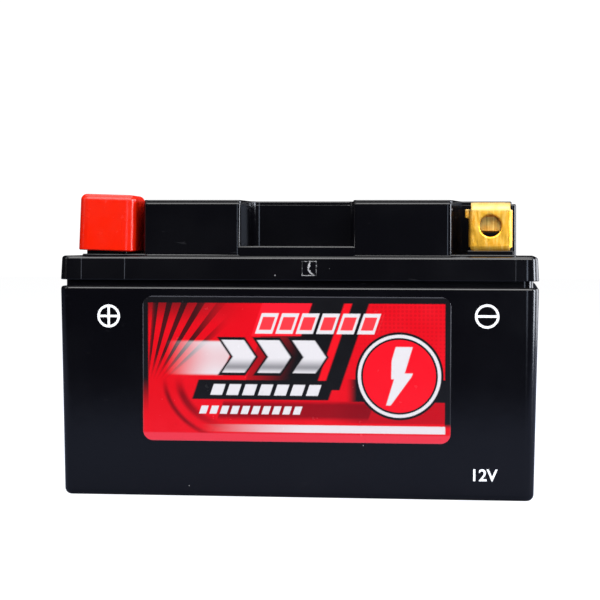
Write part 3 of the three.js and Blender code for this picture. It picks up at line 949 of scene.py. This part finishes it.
def roll_hole_rims(bm, side, width):
    """Rounds the edges of the two bolt holes, more than the other edges are."""
    def at_hole(point):
        x = point.x / MM - side * TERMINAL_X
        front_hole = math.hypot(x, point.z / MM - BOLT_Z) < BOLT_HOLE + 0.1
        top_hole = math.hypot(x, point.y / MM - NUT_Y) < BOLT_HOLE + 0.1
        on_face = point.y / MM < terminal_low.y + 0.1
        on_top = point.z / MM > terminal_high.z - 0.1
        return (front_hole and on_face) or (top_hole and on_top)
    rims = [edge for edge in bm.edges
            if all(at_hole(vert.co) for vert in edge.verts)
            and edge.calc_face_angle(0) > math.radians(60)]
    bmesh.ops.bevel(bm, geom=rims, offset=width * MM, offset_type="OFFSET", segments=4, profile=0.5,
                    affect="EDGES", clamp_overlap=True)


def terminal(pole, side):
    name = f"{pole}_terminal_box"
    bm = give_thickness(name, folded_box(side), STRIP - 0.05)
    roll_hole_rims(bm, side, 0.55)
    finish_piece(name, bm, STRIP_BRASS, replaced=[f"{pole}_terminal"],
                 bevel=0.22, sharp=50)


def terminal_stem(pole, side):
    """The stem from under the lid into the floor of the box, which joins it to its lead post."""
    middle_y = (terminal_low.y + terminal_high.y) / 2
    radius, chamfer, below_face = 2.2, 0.3, 0.4
    foot, head = terminal_low.z, RECESS_FLOOR + STRIP - below_face
    stem = tower(circle(side * TERMINAL_X, middle_y, radius, steps=28),
                 [(foot, chamfer), (foot + chamfer, 0), (head, 0)])
    finish_piece(f"{pole}_terminal_stem", stem, STRIP_BRASS)


def terminal_ear():
    """The small bent ear on the inner side of the bare terminal."""
    left = 2 * TERMINAL_X - terminal_high.x
    reach, overlap, front, back = 1.3, 0.4, -34, -28
    bottom, top, edge = 87.4, 90.2, 0.25
    ear = tower(rectangle(left - reach, left + overlap, front, back, 0.3, steps=3),
                eased(bottom, top, edge, edge))
    finish_piece("negative_terminal_ear", ear, STRIP_BRASS)


def terminal_nut(pole, side):
    """A square nut with eased corners, chamfered ends and a threaded bore."""
    x = side * TERMINAL_X
    half = (nut_high.x - nut_low.x) / 2
    chamfer = 0.35
    body = tower(rectangle(x - half, x + half, NUT_Y - half, NUT_Y + half, 0.5, steps=4),
                 eased(nut_low.z, nut_high.z, chamfer, chamfer))
    bore, pitch, groove, mouth = 2.5, 1.0, 0.45, 0.5
    turns = int((nut_high.z - nut_low.z) / pitch) + 2
    levels = [(nut_low.z - 1, -mouth)]
    for turn in range(turns):
        z = nut_low.z - 0.4 + turn * pitch
        levels += [(z, 0), (z + pitch / 2, -groove)]
    levels.append((nut_high.z + 1, -mouth))
    thread = tower(circle(x, NUT_Y, bore, steps=36), levels)
    bm = combine(f"{pole}_nut", "DIFFERENCE", body, [thread])
    finish_piece(f"{pole}_square_nut", bm, NUT_BRASS,
                 replaced=[f"{pole}_terminal_nut"], sharp=40)


def nut_holder(pole, side):
    """The plastic block that carries the nut at the height of the bolt."""
    x = side * TERMINAL_X
    half = (seat_high.x - seat_low.x) / 2
    block = tower(rectangle(x - half, x + half, seat_low.y, seat_high.y, 0.8, steps=4),
                  eased(seat_low.z, seat_high.z, 0.2, 0.4))
    finish_piece(f"{pole}_nut_holder", block, LID_PLASTIC,
                 replaced=[f"{pole}_nut_seat"])


def terminal_cap():
    """The red cap: one thin skin over the outside and back up the inside, leaning a little."""
    shift, half_x, half_y, half_z = 0.25, 9.05, 11.0, 8.825
    centre = (cap_low + cap_high) / 2 + Vector((shift, 0, 0))
    wall, edge, corner, lean = 1.5, 1.9, 3.4, 0.2
    inner_corner, lip = 0.6, 0.3
    ceiling = half_z - wall
    levels = [(ceiling, wall + inner_corner), (ceiling - inner_corner, wall), (-half_z + lip, wall)]
    levels += [(-half_z, wall - lip), (-half_z, lip), (-half_z + lip, 0)]
    levels += arc_levels((half_z - edge, lean), (half_z, lean + edge), "leave_wall", steps=7)
    turn = Matrix.Rotation(CAP_TILT, 3, "Y") @ Matrix.Rotation(CAP_TURN, 3, "Z")

    def leaning(point):
        return turn @ point + centre

    skin = tower(centred(half_x, half_y, corner, steps=10), levels, warp=leaning)
    flip_out(skin)
    finish_piece("red_terminal_cap", skin, RED_PLASTIC,
                 replaced=["positive_terminal_cap"], body=CAP_BODY)


# ------------- label and printed marks

def front_y(z):
    """The container's leaning front wall."""
    return -HALF_Y + DRAFT * (1 - z / RIM)


def on_front(point):
    """Turns (x, height, distance out) into a point on the leaning front wall."""
    return Vector((point.x, front_y(point.y) - point.z, point.y))


def label():
    """The film, sunk a little into the wall so that no gap shows at its edge."""
    outline = rectangle(label_low.x, label_high.x, label_low.z, label_high.z, 3.2, steps=10)
    sunk, thickness, edge = 0.2, 0.04, 0.02
    film = tower(outline, [(-sunk, 0), (thickness - edge, 0), (thickness, edge)], warp=on_front)
    flip_out(film)
    finish_piece("printed_label", film, LABEL_FILM,
                 replaced=["front_label"], sharp=5)


def print_sheet(name, outline, holes=()):
    """White ink on the front wall."""
    bm = bmesh.new()
    sunk, thickness = 0.1, 0.13
    fill_outline(bm, outline, holes, lambda a, b: Vector((a, front_y(b) + sunk, b)))
    thicken(bm, Vector((0, -thickness, 0)))
    finish_piece(name, bm, INK)


def bar(x, z, half_long, half_wide, upright=False):
    across, up = (half_wide, half_long) if upright else (half_long, half_wide)
    return [(x + across, z + up), (x - across, z + up), (x - across, z - up), (x + across, z - up)]


def polarity_marks():
    """A plus and a minus sign, each in a ring."""
    half_stroke = 0.38
    for name, x, z, radius in (("plus_mark", -59.0, 56.6, 3.6), ("minus_mark", 59.2, 57.2, 3.75)):
        inner = radius - 2 * half_stroke
        outside, inside = (circle(x, z, size, steps=56) for size in (radius, inner))
        print_sheet(name + "_ring", outside, [inside])
        print_sheet(name + "_bar", bar(x, z, inner, half_stroke))
        if name == "plus_mark":
            middle, reach = (inner + half_stroke) / 2, (inner - half_stroke) / 2
            print_sheet("plus_mark_upright", bar(x, z + middle, reach, half_stroke, upright=True))
            print_sheet("plus_mark_lower", bar(x, z - middle, reach, half_stroke, upright=True))


def rating_print():
    """The voltage, as plain figures, low on the right."""
    curve = bpy.data.curves.new("voltage_figures", "FONT")
    figure_size, bolder, thickness = 5.2, 0.1, 0.03
    right, base_z = 62.6, 6.3
    curve.body = "12V"
    curve.size = figure_size * MM
    curve.align_x = "RIGHT"
    curve.offset = bolder * MM
    curve.extrude = thickness * MM
    curve.materials.append(INK)
    figures = bpy.data.objects.new("voltage_figures", curve)
    figures.location = Vector((right, front_y(base_z), base_z)) * MM
    figures.rotation_euler = (math.pi / 2 + math.atan(DRAFT / RIM), 0, 0)
    link(figures, ROOT_BODY)


# ------------- inner parts

def dress_nodes():
    """Gives the CAD pieces inside the battery their finish."""
    positive = plate_paste("positive_paste", colour=(0.07, 0.028, 0.018), dark=(0.03, 0.012, 0.008),
                           wire=(0.16, 0.13, 0.12))
    negative = plate_paste("negative_paste", colour=(0.2, 0.21, 0.22), dark=(0.1, 0.105, 0.11),
                           wire=(0.34, 0.35, 0.37))
    mat = glass_mat()
    finishes = {"positive_plates": positive, "negative_plates": negative, "separator": mat,
                "link": LEAD, "post": LEAD, "seal": RUBBER, "valve": RUBBER}
    for name, node in frame["nodes"].items():
        for word, material in finishes.items():
            if word in name:
                node.data.materials.clear()
                node.data.materials.append(material)
                rounding = 0.12 if word == "separator" else 0.25
                round_off(node, rounding, segments=2, angle=50)
                weigh_normals(node)


container()
cell_partitions()
lid()
filler_necks()
top_cover()
for pole, side in SIDES.items():
    terminal(pole, side)
    terminal_stem(pole, side)
    terminal_nut(pole, side)
    nut_holder(pole, side)
terminal_ear()
terminal_cap()
label()
polarity_marks()
rating_print()
dress_nodes()


# ------------- studio

def seen_and_felt(tree, seen, felt):
    """One look for the camera, and another for light and for reflections."""
    choose = add_node(tree, "MixShader")
    tree.links.new(add_node(tree, "LightPath").outputs["Is Camera Ray"], choose.inputs[0])
    tree.links.new(felt.outputs[0], choose.inputs[1])
    tree.links.new(seen.outputs[0], choose.inputs[2])
    return choose


def floor():
    """A wide table: to the camera pure white, with a trace of shadow under the battery.

    To light and reflections it is a bluish sheet, which gives way to a dark floor in front of it.
    """
    reach = 4.0
    sheet_edge, dark_edge = -0.2, -0.33
    dark, sheet = (0.012, 0.012, 0.016, 1), (0.105, 0.12, 0.175, 1)
    bm = bmesh.new()
    corners = [(-reach, -reach), (reach, -reach), (reach, reach), (-reach, reach)]
    bm.faces.new([bm.verts.new((x, y, 0)) for x, y in corners])
    table = bpy.data.objects.new("table", new_mesh("table", bm))
    material = bpy.data.materials.new("white_table")
    material.use_nodes = True
    tree = material.node_tree
    tree.nodes.clear()
    split = add_node(tree, "SeparateXYZ", Vector=add_node(tree, "TexCoord").outputs["Object"])
    nearness = Field(tree, split.outputs[1]).ramp(dark_edge, sheet_edge)
    shade = add_node(tree, "Mix")
    shade.data_type = "RGBA"
    shade.inputs[6].default_value = dark
    shade.inputs[7].default_value = sheet
    tree.links.new(nearness.socket, shade.inputs[0])
    paper = add_node(tree, "BsdfDiffuse", Color=shade.outputs[2])
    glow = add_node(tree, "Emission", Strength=0.985)
    bright = add_node(tree, "AddShader")
    tree.links.new(paper.outputs[0], bright.inputs[0])
    tree.links.new(glow.outputs[0], bright.inputs[1])
    add_node(tree, "OutputMaterial", Surface=seen_and_felt(tree, bright, paper).outputs[0])
    table.data.materials.append(material)
    show(table)


def area_light(name, place, aim, size, power, colour=(1, 1, 1)):
    """A rectangular lamp of this power in watts; sizes and places in metres."""
    light = bpy.data.lights.new(name, "AREA")
    light.shape = "RECTANGLE"
    light.size, light.size_y = size
    light.energy = power
    light.color = colour
    lamp = bpy.data.objects.new(name, light)
    lamp.location = place
    lamp.rotation_euler = (Vector(aim) - Vector(place)).to_track_quat("-Z", "Y").to_euler()
    show(lamp)


def world():
    sky = bpy.data.worlds.new("studio")
    bpy.context.scene.world = sky
    sky.use_nodes = True
    tree = sky.node_tree
    tree.nodes.clear()
    seen = add_node(tree, "Background", Strength=1.1, Color=(1, 1, 1, 1))
    room = add_node(tree, "Background", Strength=0.03, Color=(0.9, 0.93, 1, 1))
    add_node(tree, "OutputWorld", Surface=seen_and_felt(tree, seen, room).outputs[0])


def studio():
    world()
    floor()
    area_light("overhead_softbox", place=(0.05, 0.05, 0.85), aim=(0, 0, 0.05), size=(1.4, 1.1), power=12)
    area_light("front_softbox", place=(0.1, -0.85, 0.85), aim=(0, -0.04, 0.05), size=(2.4, 0.8), power=41)
    area_light("right_softbox", place=(0.75, 0.45, 0.2), aim=(0, 0, 0.06), size=(0.6, 0.6), power=6,
               colour=(0.9, 0.92, 1))
    area_light("right_strip", place=(0.78, -0.12, 0.16), aim=(0, -0.02, 0.07), size=(0.18, 0.6), power=7,
               colour=(0.85, 0.9, 1))
    area_light("low_front_strip", place=(0.24, -0.86, 0.12), aim=(0, -0.02, 0.085), size=(0.16, 0.3),
               power=0.6, colour=(0.7, 0.8, 1))
    area_light("left_fill", place=(-0.8, -0.3, 0.4), aim=(0, 0, 0.06), size=(0.3, 0.5), power=1)


def camera():
    """A long lens almost level with the ledge of the lid, a little to the right of the middle."""
    distance, azimuth, height, aside = 0.600, math.radians(6.14), 0.0792, 0.0018
    pitch, roll = math.radians(2.55), math.radians(-0.15)
    pixels, focal_pixels = 600, 1935
    data = bpy.data.cameras.new("camera")
    data.sensor_width = 36
    data.lens = focal_pixels / pixels * data.sensor_width
    data.shift_x = -1.3 / pixels
    data.shift_y = 30.5 / pixels
    data.clip_start, data.clip_end = 0.01, 20
    lens = bpy.data.objects.new("camera", data)
    sideways, forwards = math.sin(azimuth), math.cos(azimuth)
    lens.location = (sideways * distance + aside, -HALF_Y * MM - forwards * distance, height)
    level = math.cos(pitch)
    ahead = Vector((-sideways * level, forwards * level, -math.sin(pitch)))
    rolled = Matrix.Rotation(-roll, 4, "Z").to_quaternion()
    lens.rotation_mode = "QUATERNION"
    lens.rotation_quaternion = ahead.to_track_quat("-Z", "Y") @ rolled
    show(lens)
    bpy.context.scene.camera = lens


studio()
camera()
bpy.context.scene.view_settings.view_transform = "Standard"
